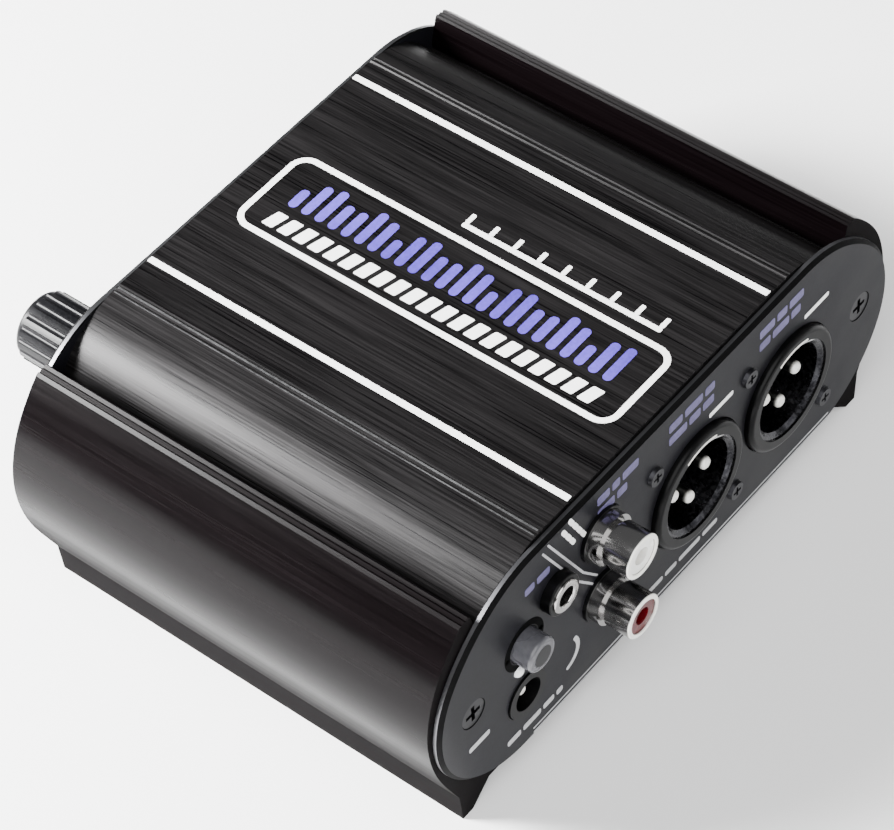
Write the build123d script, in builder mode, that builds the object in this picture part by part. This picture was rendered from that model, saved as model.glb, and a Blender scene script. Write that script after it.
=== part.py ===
from build123d import *
import os

# Two-channel direct injection and level converter box, millimetres.
# +Z up, X across the end panels, Y along the extrusion.
# The connector panel faces -Y and the control panel faces +Y.
# Origin: centre of the footprint, on the plane the two foot rails rest on.

os.makedirs("parts", exist_ok=True)

# ---- driving dimensions ------------------------------------------------------
BODY_LENGTH = 91.0
PANEL_T = 1.6
FACE_Y = BODY_LENGTH / 2
BACK_Y = FACE_Y - PANEL_T
TOP_Z = 51.3
UNDERSIDE_Z = 4.0
FLOOR_Z = 6.0
SOCKET_Z = 26.4

PORT_X = 53.3
PORT_Z = 27.2
PORT_BORE = 2.6

BOARD_Z = 9.6
BOARD_T = 1.6
BOARD_TOP = BOARD_Z + BOARD_T
BOARD_HALF_W = 52.6

XLR_X = (5.6, 31.6)
XLR_NOSE_R = 12.0
XLR_CUP_R = 9.7
XLR_WELL_R = 8.5
XLR_PROUD = 1.4
XLR_PIN_OFFSET = 4.45
XLR_SCREW_DX = 11.2
XLR_SCREW_DZ = 12.6

RCA_X = -20.0
RCA_Z = (23.6, 39.0)
RCA_REACH = 8.4
RCA_SLEEVE_R = 4.15

MINI_X, MINI_Z = -31.9, 36.6
MINI_PROUD = 1.9
BUTTON_X, BUTTON_Z = -40.2, 31.2
BUTTON_R = 3.3
BUTTON_PROUD = 3.8
LED_X, LED_Z = -41.9, 26.0
LED_R = 1.1
DC_X, DC_Z = -40.2, 18.3

COMBO_X = (9.8, 35.4)
COMBO_NOSE_R = 11.6
COMBO_PROUD = 1.6
COMBO_SCREW_DX = 10.6

RCA_OUT_X = (-20.0, -8.0)
RCA_OUT_Z = 21.4

KNOB_UPPER = (-38.0, 36.6)
KNOB_LOWER = (-34.6, 17.8)
KNOB_R = 6.6
KNOB_LEN = 13.0
KNOB_GAP = 1.0
SHAFT_R = 3.0


def facing_front(x, y, z):
    """Work plane whose normal points out of the connector panel (-Y)."""
    return Plane(origin=(x, y, z), x_dir=(1, 0, 0), z_dir=(0, -1, 0))


def facing_rear(x, y, z):
    """Work plane whose normal points out of the control panel (+Y)."""
    return Plane(origin=(x, y, z), x_dir=(-1, 0, 0), z_dir=(0, 1, 0))


# the knobs reach further out than the phono sleeves; this centres the whole object
REAR_REACH = KNOB_GAP + KNOB_LEN
CENTRE_Y = (REAR_REACH - RCA_REACH) / 2


def save(piece, name):
    """Centre one sub-part on the footprint, label it and write its STEP file."""
    shape = piece.part.moved(Location((0, -CENTRE_Y, 0)))
    shape.label = name
    export_step(shape, f"parts/{name}.step")


# ---- extruded shells ---------------------------------------------------------
def lower_shell():
    """U-shaped chassis extrusion: cheeks, lips, floor, foot rails and screw ports."""
    with BuildPart() as shell:
        with BuildSketch(Plane.XZ):
            with BuildLine():
                # outer cheek, from the bright lip edge down to the foot rail
                Spline(
                    (53.6, 47.7), (57.2, 43.6), (60.2, 38.8), (62.0, 33.8), (62.8, 28.4),
                    (62.4, 22.6), (61.0, 17.0), (58.8, 11.6), (56.4, 6.4),
                )
                # foot rail, underside and half of the floor
                Polyline(
                    (56.4, 6.4), (55.9, 0.0), (53.3, 0.0), (48.8, UNDERSIDE_Z),
                    (0.0, UNDERSIDE_Z), (0.0, FLOOR_Z), (49.0, FLOOR_Z), (51.4, 7.2),
                )
                Spline(
                    (51.4, 7.2), (54.4, 10.4), (57.0, 14.6), (59.2, 19.8), (60.4, 25.2),
                    (60.5, 29.6), (59.6, 34.0), (57.4, 38.0),
                )
                # ledge and channel that take the hooked edge of the cover
                Polyline(
                    (57.4, 38.0), (44.0, 38.0), (44.0, 42.0), (45.4, 42.0), (45.4, 39.5),
                    (51.0, 39.5), (51.0, 41.8), (49.4, 41.8), (49.4, 43.2), (50.8, 48.1),
                    (51.2, 48.4), (51.7, 48.0), (52.1, 48.3), (52.6, 47.8), (53.0, 48.1),
                    (53.6, 47.7),
                )
            make_face()
            # rails of the circuit board slot
            with BuildLine():
                Polyline((50.6, 8.2), (54.6, 8.2), (54.6, 9.5), (50.6, 9.5), close=True)
            make_face()
            with BuildLine():
                Polyline((50.6, 11.3), (56.8, 11.3), (56.8, 12.5), (50.6, 12.5), close=True)
            make_face()
            # screw port on its web
            with Locations((PORT_X, PORT_Z)):
                Circle(3.2)
            with Locations((57.4, PORT_Z)):
                Rectangle(8.0, 3.2)
            mirror(about=Plane.YZ)
            with Locations((PORT_X, PORT_Z), (-PORT_X, PORT_Z)):
                Circle(PORT_BORE / 2, mode=Mode.SUBTRACT)
        extrude(amount=BACK_Y, both=True)
    return shell


def upper_shell():
    """Cover extrusion: flat top, fine double grooves, convex shoulders, hooked edges."""
    with BuildPart() as shell:
        with BuildSketch(Plane.XZ):
            with BuildLine():
                Polyline(
                    (0.0, 49.3), (0.0, TOP_Z), (32.4, TOP_Z), (32.7, 50.9), (33.0, 51.28),
                    (33.4, 51.26), (33.7, 50.8), (34.0, 51.2),
                )
                Spline(
                    (34.0, 51.2), (38.2, 50.25), (42.4, 48.4), (45.8, 45.6), (48.2, 42.2),
                )
                Polyline(
                    (48.2, 42.2), (48.4, 41.4), (50.6, 41.4), (50.6, 39.8), (46.2, 39.8),
                    (46.2, 41.6),
                )
                Spline(
                    (46.2, 41.6), (44.2, 44.2), (41.2, 46.6), (37.8, 48.3), (34.4, 49.2),
                )
                Polyline((34.4, 49.2), (30.0, 49.3), (0.0, 49.3))
            make_face()
            mirror(about=Plane.YZ)
        extrude(amount=BACK_Y, both=True)
    return shell


# ---- end panels --------------------------------------------------------------
PANEL_TOP_Z = 50.5
PANEL_BOTTOM_Z = 5.3
PANEL_SHOULDER_X = 36.5
PANEL_NODES = (
    (49.0, 46.9), (58.0, 38.4), (61.8, 28.2), (59.6, 16.9), (52.0, 8.6), (40.0, PANEL_BOTTOM_Z),
)


def panel_outline():
    """Sketch of the end panel outline: flat top and bottom, bulging sides."""
    with BuildSketch(Plane.XZ) as outline:
        with BuildLine():
            edge = Line((0.0, PANEL_TOP_Z), (PANEL_SHOULDER_X, PANEL_TOP_Z))
            for node in PANEL_NODES:
                edge = TangentArc(edge @ 1, node, tangent=edge % 1)
            Polyline(edge @ 1, (0.0, PANEL_BOTTOM_Z), (0.0, PANEL_TOP_Z))
        make_face()
        mirror(about=Plane.YZ)
    return outline.sketch


def panel_blank(outer_y, inner_y):
    """Plate between two Y levels with a softened outer edge."""
    thickness = abs(outer_y - inner_y)
    centre = (outer_y + inner_y) / 2
    with BuildPart() as plate:
        with BuildSketch(Plane.XZ.offset(-centre)):
            add(panel_outline())
        extrude(amount=thickness / 2, both=True)
        by_depth = plate.faces().sort_by(Axis.Y)
        outer, inner = (by_depth[-1], by_depth[0]) if outer_y > 0 else (by_depth[0], by_depth[-1])
        outer_edges = outer.outer_wire().edges()
        inner_edges = inner.outer_wire().edges()
        chamfer(outer_edges, 0.7)
        chamfer(inner_edges, 0.25)
    return plate.part


def connector_panel():
    """Visible end panel with its socket, button, lamp and screw openings."""
    with BuildPart() as panel:
        add(panel_blank(-FACE_Y, -BACK_Y))
        with BuildSketch(facing_front(0, -BACK_Y, 0)):
            with Locations(*[(x, SOCKET_Z) for x in XLR_X]):
                Circle(XLR_NOSE_R + 0.2)
            with Locations(*[(RCA_X, z) for z in RCA_Z]):
                Circle(5.3)
            with Locations((MINI_X, MINI_Z)):
                Circle(4.0)
            with Locations((BUTTON_X, BUTTON_Z)):
                Circle(BUTTON_R + 0.25)
            with Locations((LED_X, LED_Z)):
                Circle(LED_R + 0.1)
            with Locations((DC_X, DC_Z)):
                Circle(4.85)
            with Locations(*[(x + s * XLR_SCREW_DX, SOCKET_Z - s * XLR_SCREW_DZ)
                             for x in XLR_X for s in (-1, 1)]):
                Circle(1.4)
        extrude(amount=PANEL_T, mode=Mode.SUBTRACT)
        for side in (-1, 1):
            with Locations(facing_front(side * PORT_X, -FACE_Y, PORT_Z)):
                CounterSinkHole(1.6, 2.9, counter_sink_angle=90)
    return panel


def control_panel():
    """Far end panel with its socket, level control and screw openings."""
    with BuildPart() as panel:
        add(panel_blank(FACE_Y, BACK_Y))
        with BuildSketch(facing_front(0, FACE_Y, 0)):
            with Locations(*[(x, SOCKET_Z) for x in COMBO_X]):
                Circle(COMBO_NOSE_R + 0.2)
            with Locations(*[(x, RCA_OUT_Z) for x in RCA_OUT_X]):
                Circle(5.3)
            with Locations(KNOB_UPPER, KNOB_LOWER):
                Circle(3.7)
            with Locations(*[(x + s * COMBO_SCREW_DX, SOCKET_Z - s * XLR_SCREW_DZ)
                             for x in COMBO_X for s in (-1, 1)]):
                Circle(1.4)
        extrude(amount=PANEL_T, mode=Mode.SUBTRACT)
        for side in (-1, 1):
            with Locations(facing_rear(side * PORT_X, FACE_Y, PORT_Z)):
                CounterSinkHole(1.6, 2.9, counter_sink_angle=90)
    return panel


# ---- fasteners ---------------------------------------------------------------
def countersunk_screws(planes, head_r, shank_r, length):
    """One countersunk Phillips screw on each plane, heads flush with it."""
    cone = head_r - shank_r
    with BuildPart() as screws:
        for plane in planes:
            with BuildSketch(plane.offset(-0.15)):
                Circle(head_r)
            with BuildSketch(plane.offset(-0.15 - cone)):
                Circle(shank_r)
            loft()
            with BuildSketch(plane.offset(-0.15 - cone)):
                Circle(shank_r)
            extrude(amount=-(length - cone))
            # Phillips recess
            with BuildSketch(plane.offset(-0.15)):
                Rectangle(head_r * 1.25, head_r * 0.3)
                Rectangle(head_r * 0.3, head_r * 1.25)
            extrude(amount=-head_r * 0.45, mode=Mode.SUBTRACT)
    return screws


def pan_screws(planes, head_r, head_h, shank_r, length):
    """One low pan-head Phillips screw standing on each plane."""
    with BuildPart() as screws:
        for plane in planes:
            with BuildSketch(plane):
                Circle(head_r)
            extrude(amount=head_h, taper=18)
            with BuildSketch(plane):
                Circle(shank_r)
            extrude(amount=-length)
            # Phillips recess
            with BuildSketch(plane.offset(head_h)):
                Rectangle(head_r * 1.1, head_r * 0.26)
                Rectangle(head_r * 0.26, head_r * 1.1)
            extrude(amount=-head_h * 0.6, mode=Mode.SUBTRACT)
    return screws


# ---- circuit boards ----------------------------------------------------------
def main_board():
    """Board that slides into the slots of the lower shell."""
    with BuildPart() as board:
        with BuildSketch(Plane.XY.offset(BOARD_Z)):
            Rectangle(2 * BOARD_HALF_W, 84.0)
            with GridLocations(92.0, 70.0, 2, 2):
                Circle(1.6, mode=Mode.SUBTRACT)
        extrude(amount=BOARD_T)
    return board


def upright_board(x_min, x_max, z_min, z_max, y_near, y_far):
    """Small board standing behind a panel."""
    with BuildPart() as board:
        with Locations(((x_min + x_max) / 2, (y_near + y_far) / 2, (z_min + z_max) / 2)):
            Box(x_max - x_min, y_far - y_near, z_max - z_min)
    return board


def link_pins(x_centre, y_board, y_down, z_board, pitch=2.54, count=6):
    """Row of right-angle pins from an upright board down to the main board."""
    side = 0.64
    y_end = y_down + (side / 2 if y_down > y_board else -side / 2)
    with BuildPart() as pins:
        with Locations(*[(x_centre + (i - (count - 1) / 2) * pitch, 0, 0) for i in range(count)]):
            with Locations((0, (y_board + y_end) / 2, z_board)):
                Box(side, abs(y_end - y_board), side)
            with Locations((0, y_down, (z_board + side / 2 + BOARD_TOP) / 2)):
                Box(side, side, z_board + side / 2 - BOARD_TOP)
    return pins


# ---- male XLR outputs --------------------------------------------------------
def xlr_housing(x):
    """Black moulded housing: block behind the panel and round nose through it."""
    with BuildPart() as housing:
        with Locations((x, -BACK_Y + 9.0, 24.6)):
            Box(25.4, 18.0, 26.0)
        with Locations((x - XLR_SCREW_DX + 1.3, -BACK_Y + 5.0, 39.0)):
            Box(5.6, 10.0, 5.2)
        with BuildSketch(facing_front(x, -BACK_Y, SOCKET_Z)):
            Circle(XLR_NOSE_R)
        extrude(amount=PANEL_T + XLR_PROUD)
        rim = housing.faces().sort_by(Axis.Y)[0].edges()
        fillet(rim, 0.9)
        with BuildSketch(facing_front(x, -BACK_Y + 13.0, SOCKET_Z)):
            Circle(XLR_CUP_R)
        extrude(amount=13.0 + PANEL_T + XLR_PROUD, mode=Mode.SUBTRACT)
        with BuildSketch(facing_front(x, -BACK_Y, SOCKET_Z)):
            with Locations((-XLR_SCREW_DX, XLR_SCREW_DZ), (XLR_SCREW_DX, -XLR_SCREW_DZ)):
                Circle(1.15)
        extrude(amount=-8.0, mode=Mode.SUBTRACT)
    return housing


def xlr_cup(x):
    """Metal cup lining the housing, with a flared rim and a latch window."""
    with BuildPart() as cup:
        with BuildSketch(facing_front(x, -BACK_Y + 13.0, SOCKET_Z)):
            Circle(XLR_CUP_R)
            Circle(XLR_WELL_R, mode=Mode.SUBTRACT)
        extrude(amount=13.0 + PANEL_T + XLR_PROUD - 0.3)
        mouth = cup.edges().filter_by(GeomType.CIRCLE).group_by(Axis.Y)[0].sort_by(SortBy.RADIUS)[0]
        chamfer(mouth, 0.7)
    return cup


def xlr_insert(x):
    """Black disc at the bottom of the cup that carries the three pins."""
    with BuildPart() as insert:
        with BuildSketch(facing_front(x, -BACK_Y + 13.0, SOCKET_Z)):
            Circle(XLR_WELL_R - 0.05)
            with Locations((-XLR_PIN_OFFSET, 0), (XLR_PIN_OFFSET, 0), (0, -XLR_PIN_OFFSET)):
                Circle(1.2, mode=Mode.SUBTRACT)
        extrude(amount=2.6)
    return insert


def xlr_pins(x):
    """Three round contacts with domed tips."""
    with BuildPart() as pins:
        with BuildSketch(facing_front(x, -BACK_Y + 13.0, SOCKET_Z)):
            with Locations((-XLR_PIN_OFFSET, 0), (XLR_PIN_OFFSET, 0), (0, -XLR_PIN_OFFSET)):
                Circle(1.2)
        extrude(amount=14.0)
        tips = pins.edges().filter_by(GeomType.CIRCLE).group_by(Axis.Y)[0]
        fillet(tips, 0.8)
    return pins


# ---- phono sockets -----------------------------------------------------------
def rca_sleeves(planes):
    """Nickel sleeves: wide base collar, groove, plain barrel with a rolled tip."""
    with BuildPart() as sleeves:
        for plane in planes:
            with BuildSketch(plane.offset(-PANEL_T)):
                Circle(4.7)
            extrude(amount=PANEL_T + 2.6)
            with BuildSketch(plane.offset(2.6)):
                Circle(3.75)
            extrude(amount=0.9)
            with BuildSketch(plane.offset(3.5)):
                Circle(RCA_SLEEVE_R)
            extrude(amount=RCA_REACH - 3.5)
            with BuildSketch(plane.offset(-PANEL_T)):
                Circle(3.3)
            extrude(amount=PANEL_T + RCA_REACH, mode=Mode.SUBTRACT)
        for plane in planes:
            lip_y = plane.origin.Y + plane.z_dir.Y * RCA_REACH
            lips = sleeves.edges().filter_by(GeomType.CIRCLE).filter_by(
                lambda e, at=lip_y, c=plane.origin: abs(e.center().Y - at) < 1e-3
                and abs(e.arc_center.X - c.X) < 1e-3
                and abs(e.arc_center.Z - c.Z) < 1e-3
                and e.radius > 4.0
            )
            fillet(lips, 0.3)
    return sleeves


def rca_insulator(plane):
    """Coloured insulator inside one sleeve, with the contact hole in its middle."""
    with BuildPart() as insulator:
        with BuildSketch(plane.offset(-PANEL_T)):
            Circle(3.28)
            Circle(1.65, mode=Mode.SUBTRACT)
        extrude(amount=PANEL_T + RCA_REACH - 0.35)
    return insulator


def rca_contacts(planes):
    """Thin split tubes that grip the centre pin of a plug."""
    with BuildPart() as contacts:
        for plane in planes:
            with BuildSketch(plane.offset(-PANEL_T)):
                Circle(1.62)
                Circle(1.3, mode=Mode.SUBTRACT)
                with Locations((0, 1.5)):
                    Rectangle(0.5, 1.0, mode=Mode.SUBTRACT)
            extrude(amount=PANEL_T + RCA_REACH - 2.4)
    return contacts


def rca_housing(planes, x_min, x_max, z_max):
    """Black block behind the panel with one short collar round each sleeve."""
    out = planes[0].z_dir.Y
    y_mid = out * (BACK_Y - 6.0)
    with BuildPart() as housing:
        with Locations(((x_min + x_max) / 2, y_mid, (BOARD_TOP + z_max) / 2)):
            Box(x_max - x_min, 12.0, z_max - BOARD_TOP)
        for plane in planes:
            with BuildSketch(plane.offset(-PANEL_T)):
                Circle(5.15)
            extrude(amount=PANEL_T + 0.6)
        for plane in planes:
            with BuildSketch(plane.offset(-PANEL_T)):
                Circle(4.72)
            extrude(amount=PANEL_T + 0.6, mode=Mode.SUBTRACT)
    return housing


# ---- small parts of the connector panel ---------------------------------------
def mini_jack_body():
    """Moulded 3.5 mm socket body with a black collar in the panel opening."""
    with BuildPart() as body:
        with Locations((MINI_X, -BACK_Y + 4.9, MINI_Z)):
            Box(6.2, 9.8, 6.2)
        with BuildSketch(facing_front(MINI_X, -BACK_Y, MINI_Z)):
            Circle(3.9)
        extrude(amount=PANEL_T + MINI_PROUD)
        collar = body.faces().sort_by(Axis.Y)[0].edges()
        fillet(collar, 0.3)
        with BuildSketch(facing_front(MINI_X, -BACK_Y + 8.2, MINI_Z)):
            Circle(1.8)
        extrude(amount=8.2 + PANEL_T + MINI_PROUD, mode=Mode.SUBTRACT)
        with BuildSketch(facing_front(MINI_X, -BACK_Y, MINI_Z)):
            Circle(3.12)
        extrude(amount=PANEL_T + MINI_PROUD, mode=Mode.SUBTRACT)
    return body


def mini_jack_ring():
    """Bright ferrule of the 3.5 mm socket."""
    with BuildPart() as ring:
        with BuildSketch(facing_front(MINI_X, -BACK_Y, MINI_Z)):
            Circle(3.1)
            Circle(1.8, mode=Mode.SUBTRACT)
        extrude(amount=PANEL_T + MINI_PROUD + 0.5)
        mouth = ring.edges().filter_by(GeomType.CIRCLE).group_by(Axis.Y)[0]
        fillet(mouth, 0.35)
    return ring


def switch_body():
    """Push switch body on the upright board, open at the front for its plunger."""
    with BuildPart() as body:
        with Locations((BUTTON_X, -BACK_Y + 6.3, BUTTON_Z)):
            Box(7.0, 7.0, 7.0)
        with Locations((BUTTON_X, -BACK_Y + 5.1, BUTTON_Z)):
            Box(4.1, 5.2, 4.1, mode=Mode.SUBTRACT)
    return body


def switch_plunger():
    """Square sliding stem of the switch."""
    with BuildPart() as plunger:
        with Locations((BUTTON_X, -BACK_Y + 1.9, BUTTON_Z)):
            Box(4.0, 5.8, 4.0)
    return plunger


def button_cap():
    """Round push button with a dished face, pressed onto the square stem."""
    with BuildPart() as cap:
        with BuildSketch(facing_front(BUTTON_X, -BACK_Y + 0.6, BUTTON_Z)):
            Circle(BUTTON_R)
        extrude(amount=0.6 + PANEL_T + BUTTON_PROUD)
        crown = cap.edges().filter_by(GeomType.CIRCLE).group_by(Axis.Y)[0]
        fillet(crown, 0.7)
        with BuildSketch(facing_front(BUTTON_X, -FACE_Y - BUTTON_PROUD, BUTTON_Z)):
            Circle(2.0)
        extrude(amount=-0.5, taper=30, mode=Mode.SUBTRACT)
        with Locations((BUTTON_X, -BACK_Y, BUTTON_Z)):
            Box(4.0, 2.0, 4.0, mode=Mode.SUBTRACT)
    return cap


def status_led():
    """Small round lamp: flange behind the panel and a domed lens through it."""
    with BuildPart() as led:
        with BuildSketch(facing_front(LED_X, -BACK_Y + 2.8, LED_Z)):
            Circle(LED_R + 0.35)
        extrude(amount=1.0)
        with BuildSketch(facing_front(LED_X, -BACK_Y + 2.8, LED_Z)):
            Circle(LED_R)
        extrude(amount=2.8 + PANEL_T + 0.7)
        dome = led.edges().filter_by(GeomType.CIRCLE).group_by(Axis.Y)[0]
        fillet(dome, 0.8)
    return led


def led_leads():
    """Pair of square leads between the lamp and its board."""
    with BuildPart() as leads:
        with Locations((LED_X - 1.27, -BACK_Y + 6.3, LED_Z), (LED_X + 1.27, -BACK_Y + 6.3, LED_Z)):
            Box(0.5, 7.0, 0.5)
    return leads


def dc_jack_body():
    """Power inlet: block on the main board, round barrel through the panel."""
    with BuildPart() as body:
        with Locations((DC_X, -BACK_Y + 7.0, (BOARD_TOP + 23.2) / 2)):
            Box(9.2, 14.0, 23.2 - BOARD_TOP)
        with BuildSketch(facing_front(DC_X, -BACK_Y, DC_Z)):
            Circle(4.7)
        extrude(amount=PANEL_T + 0.35)
        with BuildSketch(facing_front(DC_X, -BACK_Y + 9.5, DC_Z)):
            Circle(3.15)
        extrude(amount=9.5 + PANEL_T + 0.35, mode=Mode.SUBTRACT)
    return body


def dc_jack_pin():
    """Centre pin of the power inlet with a rounded tip."""
    with BuildPart() as pin:
        with BuildSketch(facing_front(DC_X, -BACK_Y + 9.5, DC_Z)):
            Circle(1.05)
        extrude(amount=10.4)
        tip = pin.edges().filter_by(GeomType.CIRCLE).group_by(Axis.Y)[0]
        fillet(tip, 0.7)
    return pin


def dc_jack_spring():
    """Leaf contact along the side of the power inlet opening."""
    with BuildPart() as spring:
        with Locations((DC_X + 2.85, -BACK_Y + 4.75, DC_Z)):
            Box(0.25, 9.5, 1.6)
    return spring


# ---- combination sockets ------------------------------------------------------
def combo_body(x):
    """Combination socket: block, round nose, quarter-inch bore, three contact holes."""
    with BuildPart() as body:
        with Locations((x, BACK_Y - 11.0, 24.8)):
            Box(25.2, 22.0, 25.6)
        with Locations((x - COMBO_SCREW_DX + 0.6, BACK_Y - 4.5, 38.9)):
            Box(5.2, 9.0, 5.0)
        with BuildSketch(facing_rear(x, BACK_Y, SOCKET_Z)):
            Circle(COMBO_NOSE_R)
        extrude(amount=PANEL_T + COMBO_PROUD)
        rim = body.faces().sort_by(Axis.Y)[-1].edges()
        fillet(rim, 0.9)
        # annular slot that takes the shell of a plug
        with BuildSketch(facing_rear(x, FACE_Y + COMBO_PROUD, SOCKET_Z)):
            Circle(9.8)
            Circle(8.0, mode=Mode.SUBTRACT)
        extrude(amount=-14.0, mode=Mode.SUBTRACT)
        with BuildSketch(facing_rear(x, FACE_Y + COMBO_PROUD, SOCKET_Z)):
            Circle(3.3)
        extrude(amount=-24.0, mode=Mode.SUBTRACT)
        with BuildSketch(facing_rear(x, FACE_Y + COMBO_PROUD, SOCKET_Z)):
            with Locations((-5.1, 2.1), (5.1, 2.1), (0, -5.6)):
                Circle(1.6)
        extrude(amount=-13.0, mode=Mode.SUBTRACT)
        with BuildSketch(facing_rear(x, BACK_Y, SOCKET_Z)):
            with Locations((-COMBO_SCREW_DX, -XLR_SCREW_DZ), (COMBO_SCREW_DX, XLR_SCREW_DZ)):
                Circle(1.15)
        extrude(amount=-8.0, mode=Mode.SUBTRACT)
    return body


def combo_contacts(x):
    """Three spring tubes sunk in the contact holes of a combination socket."""
    with BuildPart() as contacts:
        with BuildSketch(facing_rear(x, FACE_Y + COMBO_PROUD - 13.0, SOCKET_Z)):
            with Locations((-5.1, 2.1), (5.1, 2.1), (0, -5.6)):
                Circle(1.58)
                Circle(1.25, mode=Mode.SUBTRACT)
        extrude(amount=11.0)
    return contacts


# ---- level controls -----------------------------------------------------------
def pot_body(x, z):
    """Small rotary control: square case on the upright board and threaded bushing."""
    with BuildPart() as body:
        with Locations((x, BACK_Y - 4.4, z)):
            Box(10.0, 7.2, 11.0)
        with BuildSketch(facing_rear(x, BACK_Y - 0.8, z)):
            Circle(3.5)
        extrude(amount=PANEL_T + 0.8 + 2.8)
        with BuildSketch(facing_rear(x, BACK_Y - 6.5, z)):
            Circle(SHAFT_R + 0.05)
        extrude(amount=20.0, mode=Mode.SUBTRACT)
    return body


def pot_shaft(x, z):
    """Round control shaft with a flat near its end."""
    length = 6.3 + PANEL_T + KNOB_GAP + 10.0
    with BuildPart() as shaft:
        with BuildSketch(facing_rear(x, BACK_Y - 6.3, z)):
            Circle(SHAFT_R)
        extrude(amount=length)
        with Locations((x, BACK_Y - 6.3 + length - 3.5, z - 3.0)):
            Box(8.0, 7.0, 3.0, mode=Mode.SUBTRACT)
    return shaft


def pot_washers():
    """Thin washers under the two bushing nuts."""
    with BuildPart() as washers:
        for x, z in (KNOB_UPPER, KNOB_LOWER):
            with BuildSketch(facing_rear(x, FACE_Y, z)):
                Circle(5.2)
                Circle(3.55, mode=Mode.SUBTRACT)
            extrude(amount=0.5)
    return washers


def pot_nuts():
    """Hexagon nuts on the two bushings."""
    with BuildPart() as nuts:
        for x, z in (KNOB_UPPER, KNOB_LOWER):
            with BuildSketch(facing_rear(x, FACE_Y + 0.5, z)):
                RegularPolygon(4.9, 6)
                Circle(3.55, mode=Mode.SUBTRACT)
            extrude(amount=1.9)
    return nuts


def knob(x, z):
    """Ribbed level knob with a rounded crown and a hollow back."""
    start = FACE_Y + KNOB_GAP
    rib_count = 18
    with BuildPart() as cap:
        with BuildSketch(facing_rear(x, start, z)):
            Circle(KNOB_R)
            with PolarLocations(KNOB_R + 0.35, rib_count):
                Circle(0.75, mode=Mode.SUBTRACT)
        extrude(amount=KNOB_LEN - 1.2)
        # plain crown above the ribs, rounded at its rim
        with BuildSketch(facing_rear(x, start + KNOB_LEN - 3.0, z)):
            Circle(KNOB_R - 0.4)
        extrude(amount=3.0)
        crown = cap.faces().sort_by(Axis.Y)[-1].edges()
        fillet(crown, 0.8)
        with BuildSketch(facing_rear(x, start, z)):
            Circle(5.55)
        extrude(amount=3.6, mode=Mode.SUBTRACT)
        with BuildSketch(facing_rear(x, start, z)):
            Circle(SHAFT_R)
        extrude(amount=10.0, mode=Mode.SUBTRACT)
    return cap


# ---- components on the main board ----------------------------------------------
def op_amps():
    """Four dual in-line amplifier chips with their legs."""
    spots = [(-22, -8), (0, -8), (22, -8), (0, 12)]
    with BuildPart() as chips:
        for x, y in spots:
            with Locations((x, y, BOARD_TOP + 2.3)):
                Box(9.6, 6.4, 3.4)
            with Locations((x - 4.0, y, BOARD_TOP + 4.0)):
                Cylinder(0.7, 0.6, mode=Mode.SUBTRACT)
            with Locations((x, y, 0)):
                for side in (-1, 1):
                    with Locations(*[((i - 1.5) * 2.54, side * 3.55, BOARD_TOP + 1.2) for i in range(4)]):
                        Box(0.6, 0.7, 2.4)
    return chips


def electrolytics():
    """Upright electrolytic capacitors with a bead round the base."""
    spots = [(-42, -2, 4.0, 12.0), (-42, 10, 4.0, 12.0), (-24, 12, 3.15, 11.0), (-14, 12, 3.15, 11.0),
             (16, 12, 3.15, 11.0), (26, 12, 3.15, 11.0), (42, -4, 5.0, 16.0), (43.5, 10, 5.0, 16.0)]
    with BuildPart() as caps:
        for x, y, radius, height in spots:
            with BuildSketch(Plane.XY.offset(BOARD_TOP)):
                with Locations((x, y)):
                    Circle(radius)
            extrude(amount=height)
            with BuildSketch(Plane.XY.offset(BOARD_TOP + 1.4)):
                with Locations((x, y)):
                    Circle(radius + 0.4)
                    Circle(radius - 0.3, mode=Mode.SUBTRACT)
            extrude(amount=0.8, mode=Mode.SUBTRACT)
    return caps


def film_caps():
    """Box film capacitors standing beside the chips."""
    with BuildPart() as caps:
        with Locations(*[(x, 1.8, BOARD_TOP + 3.4) for x in (-30, -14, 10, 28)]):
            Box(7.2, 3.2, 6.8)
    return caps


def regulator():
    """Upright voltage regulator with a metal tab."""
    with BuildPart() as part:
        with Locations((-45.0, -16.0, BOARD_TOP + 8.0)):
            Box(10.0, 4.4, 9.2)
        with Locations((-45.0, -14.4, BOARD_TOP + 15.6)):
            Box(10.0, 1.2, 6.0)
        with Locations((-45.0, -14.4, BOARD_TOP + 15.8)):
            Cylinder(1.8, 4.0, rotation=(90, 0, 0), mode=Mode.SUBTRACT)
        with Locations(*[(-45.0 + i * 2.54, -16.0, BOARD_TOP + 1.7) for i in (-1, 0, 1)]):
            Box(0.8, 0.6, 3.4)
    return part


def resistors():
    """Two rows of lying resistors between the chips."""
    with BuildPart() as parts:
        for x in (-33, -11, 11, 33):
            for y in (-14.0, 6.8):
                with Locations((x, y, BOARD_TOP + 1.2)):
                    Cylinder(1.1, 6.2, rotation=(0, 90, 0))
                with Locations((x - 3.9, y, BOARD_TOP + 0.6), (x + 3.9, y, BOARD_TOP + 0.6)):
                    Box(1.8, 0.6, 1.2)
    return parts


# ---- build and export ----------------------------------------------------------
save(lower_shell(), "lower_shell")
save(upper_shell(), "upper_shell")
save(connector_panel(), "connector_panel")
save(control_panel(), "control_panel")

front_ports = [facing_front(s * PORT_X, -FACE_Y, PORT_Z) for s in (-1, 1)]
rear_ports = [facing_rear(s * PORT_X, FACE_Y, PORT_Z) for s in (-1, 1)]
save(countersunk_screws(front_ports, 2.75, 1.25, 11.0), "connector_panel_screws")
save(countersunk_screws(rear_ports, 2.75, 1.25, 11.0), "control_panel_screws")

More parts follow.
